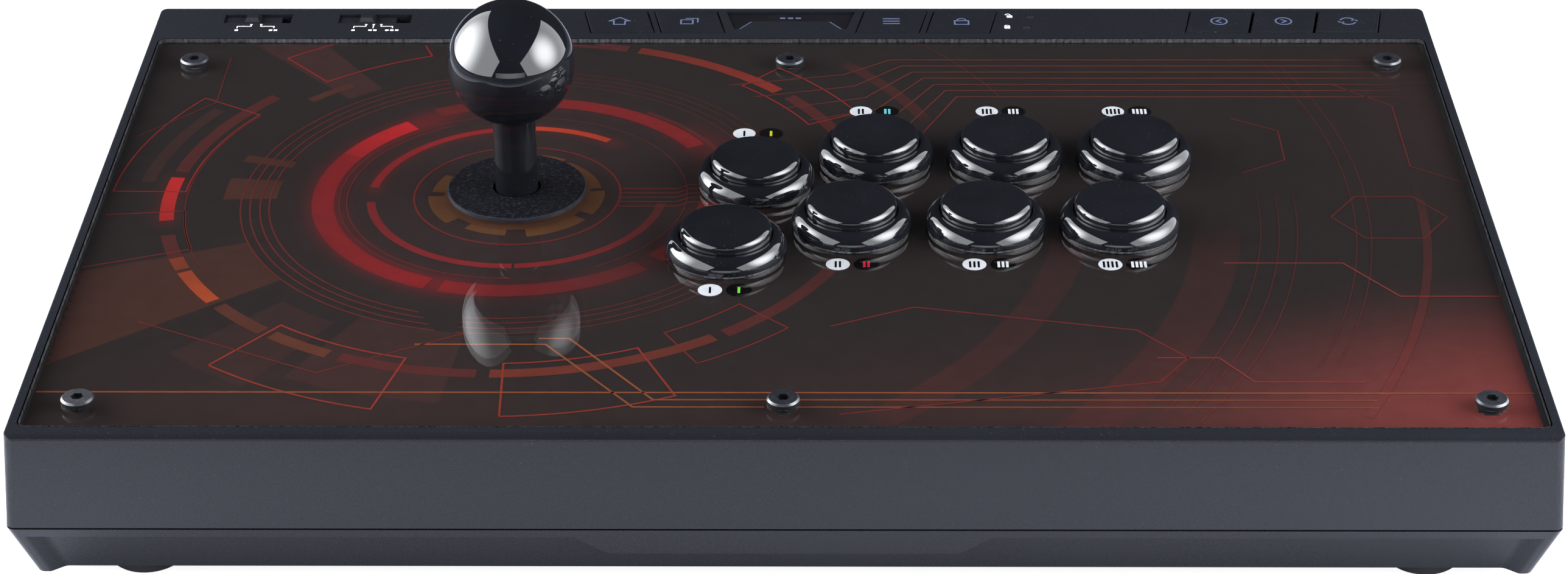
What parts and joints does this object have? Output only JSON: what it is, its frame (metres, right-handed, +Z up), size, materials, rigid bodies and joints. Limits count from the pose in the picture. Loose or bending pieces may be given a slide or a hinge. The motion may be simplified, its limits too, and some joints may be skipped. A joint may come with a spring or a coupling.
{
  "type": "arcade joystick panel",
  "caption": "Table-top arcade joystick panel with ball-top lever, round push buttons under a clear acrylic cover and a rear control strip in a low black case.",
  "frame": {"origin": "on the ground under the middle of the case, at the underside of the rubber feet", "axes": "+X to the player's right along the case, +Y away from the player to the control strip, +Z up"},
  "size_m": [0.3914, 0.2524, 0.1038],
  "materials": {
    "case_plastic": "fine-grained matte black plastic",
    "foot_rubber": "soft matte rubber",
    "screw_steel": "zinc-plated steel",
    "panel_steel": "black powder-coated sheet steel",
    "printed_sheet": "printed film, dark with red and orange line work",
    "clear_acrylic": "clear polished acrylic",
    "black_screw": "black oxide with bright chamfered rim",
    "zinc_steel": "zinc-plated steel",
    "black_moulding": "satin black moulding",
    "white_moulding": "white acetal",
    "washer_plastic": "grained black plastic with polished edge",
    "spring_steel": "spring steel",
    "shaft_steel": "polished steel",
    "gloss_black": "polished black plastic",
    "clear_gate": "translucent plastic",
    "circuit_board": "green solder mask",
    "switch_body": "switch moulding",
    "key_plastic": "fine-grained black plastic",
    "window_gloss": "glossy dark window",
    "lamp_lens": "smoked lens",
    "switch_metal": "tin-plated steel"
  },
  "bodies": {
    "case": {"upper_case": "case_plastic", "lower_case": "case_plastic", "rubber_feet": "foot_rubber", "case_screws": "screw_steel", "panel_plate": "panel_steel", "artwork_sheet": "printed_sheet", "acrylic_cover": "clear_acrylic", "panel_screws": "black_screw", "lever_mount_plate": "zinc_steel", "lever_nuts": "zinc_steel", "lever_housing": "black_moulding", "restrictor_gate": "clear_gate", "lever_switch_board": "circuit_board", "lever_switches": "switch_body", "button_1_housing": "gloss_black", "button_2_housing": "gloss_black", "button_3_housing": "gloss_black", "button_4_housing": "gloss_black", "button_5_housing": "gloss_black", "button_6_housing": "gloss_black", "button_7_housing": "gloss_black", "button_8_housing": "gloss_black", "button_switches": "switch_body", "status_window": "window_gloss", "led_lenses": "lamp_lens", "control_board": "circuit_board", "slide_switches": "switch_metal", "main_board": "circuit_board", "usb_socket": "switch_metal", "board_screws": "screw_steel"},
    "lever_gimbal": {"lever_spring": "spring_steel"},
    "lever": {"lever_pivot": "white_moulding", "lever_actuator": "black_moulding", "spring_collar": "black_moulding"},
    "stick": {"lever_shaft": "shaft_steel", "e_clip": "spring_steel", "shaft_cover": "gloss_black", "ball_top": "gloss_black"},
    "washer_under": {"inner_dust_washer": "black_moulding"},
    "washer_top": {"dust_washer": "washer_plastic"},
    "plunger_1": {"button_1_plunger": "gloss_black"},
    "plunger_2": {"button_2_plunger": "gloss_black"},
    "plunger_3": {"button_3_plunger": "gloss_black"},
    "plunger_4": {"button_4_plunger": "gloss_black"},
    "plunger_5": {"button_5_plunger": "gloss_black"},
    "plunger_6": {"button_6_plunger": "gloss_black"},
    "plunger_7": {"button_7_plunger": "gloss_black"},
    "plunger_8": {"button_8_plunger": "gloss_black"},
    "key_home_cap": {"key_home": "key_plastic"},
    "key_view_cap": {"key_view": "key_plastic"},
    "key_menu_cap": {"key_menu": "key_plastic"},
    "key_lock_cap": {"key_lock": "key_plastic"},
    "key_stick_left_cap": {"key_stick_left": "key_plastic"},
    "key_stick_right_cap": {"key_stick_right": "key_plastic"},
    "key_swap_cap": {"key_swap": "key_plastic"},
    "turbo_knob": {"turbo_slider": "key_plastic"},
    "mode_knob": {"mode_slider": "key_plastic"}
  },
  "joints": [
    {"name": "lever_tilt_x", "type": "hinge", "parent": "case", "child": "lever_gimbal", "pos_m": [-0.0754, 0.0048, 0.0305], "axis": [0, 1, 0], "range_deg": [-10, 10], "stiffness_Nm_per_rad": 0.4},
    {"name": "lever_tilt_y", "type": "hinge", "parent": "lever_gimbal", "child": "lever", "pos_m": [-0.0754, 0.0048, 0.0305], "axis": [1, 0, 0], "range_deg": [-10, 10], "stiffness_Nm_per_rad": 0.4, "deforming": ["lever_spring"]},
    {"name": "stick_spin", "type": "hinge", "parent": "lever", "child": "stick", "pos_m": [-0.0754, 0.0048, 0.0305], "axis": [0, 0, 1], "continuous": true},
    {"name": "washer_slide_x", "type": "slide", "parent": "case", "child": "washer_under", "axis": [1, 0, 0], "range_m": [-0.003, 0.003]},
    {"name": "washer_slide_y", "type": "slide", "parent": "washer_under", "child": "washer_top", "axis": [0, 1, 0], "range_m": [-0.003, 0.003]},
    {"name": "button_1_press", "type": "slide", "parent": "case", "child": "plunger_1", "axis": [0, 0, -1], "range_m": [0, 0.003], "stiffness_N_per_m": 150, "springref_m": -0.002},
    {"name": "button_2_press", "type": "slide", "parent": "case", "child": "plunger_2", "axis": [0, 0, -1], "range_m": [0, 0.003], "stiffness_N_per_m": 150, "springref_m": -0.002},
    {"name": "button_3_press", "type": "slide", "parent": "case", "child": "plunger_3", "axis": [0, 0, -1], "range_m": [0, 0.003], "stiffness_N_per_m": 150, "springref_m": -0.002},
    {"name": "button_4_press", "type": "slide", "parent": "case", "child": "plunger_4", "axis": [0, 0, -1], "range_m": [0, 0.003], "stiffness_N_per_m": 150, "springref_m": -0.002},
    {"name": "button_5_press", "type": "slide", "parent": "case", "child": "plunger_5", "axis": [0, 0, -1], "range_m": [0, 0.003], "stiffness_N_per_m": 150, "springref_m": -0.002},
    {"name": "button_6_press", "type": "slide", "parent": "case", "child": "plunger_6", "axis": [0, 0, -1], "range_m": [0, 0.003], "stiffness_N_per_m": 150, "springref_m": -0.002},
    {"name": "button_7_press", "type": "slide", "parent": "case", "child": "plunger_7", "axis": [0, 0, -1], "range_m": [0, 0.003], "stiffness_N_per_m": 150, "springref_m": -0.002},
    {"name": "button_8_press", "type": "slide", "parent": "case", "child": "plunger_8", "axis": [0, 0, -1], "range_m": [0, 0.003], "stiffness_N_per_m": 150, "springref_m": -0.002},
    {"name": "key_home_press", "type": "slide", "parent": "case", "child": "key_home_cap", "axis": [0, 0, -1], "range_m": [0, 0.0008], "stiffness_N_per_m": 400, "springref_m": -0.001},
    {"name": "key_view_press", "type": "slide", "parent": "case", "child": "key_view_cap", "axis": [0, 0, -1], "range_m": [0, 0.0008], "stiffness_N_per_m": 400, "springref_m": -0.001},
    {"name": "key_menu_press", "type": "slide", "parent": "case", "child": "key_menu_cap", "axis": [0, 0, -1], "range_m": [0, 0.0008], "stiffness_N_per_m": 400, "springref_m": -0.001},
    {"name": "key_lock_press", "type": "slide", "parent": "case", "child": "key_lock_cap", "axis": [0, 0, -1], "range_m": [0, 0.0008], "stiffness_N_per_m": 400, "springref_m": -0.001},
    {"name": "key_stick_left_press", "type": "slide", "parent": "case", "child": "key_stick_left_cap", "axis": [0, 0, -1], "range_m": [0, 0.0008], "stiffness_N_per_m": 400, "springref_m": -0.001},
    {"name": "key_stick_right_press", "type": "slide", "parent": "case", "child": "key_stick_right_cap", "axis": [0, 0, -1], "range_m": [0, 0.0008], "stiffness_N_per_m": 400, "springref_m": -0.001},
    {"name": "key_swap_press", "type": "slide", "parent": "case", "child": "key_swap_cap", "axis": [0, 0, -1], "range_m": [0, 0.0008], "stiffness_N_per_m": 400, "springref_m": -0.001},
    {"name": "turbo_slide", "type": "slide", "parent": "case", "child": "turbo_knob", "axis": [1, 0, 0], "range_m": [0, 0.003]},
    {"name": "mode_slide", "type": "slide", "parent": "case", "child": "mode_knob", "axis": [1, 0, 0], "range_m": [0, 0.0046]}
  ],
  "couplings": [
    {"joint": "washer_slide_x", "follows": "lever_tilt_x", "m_per_rad": 0.0169},
    {"joint": "washer_slide_y", "follows": "lever_tilt_y", "m_per_rad": -0.0169}
  ]
}
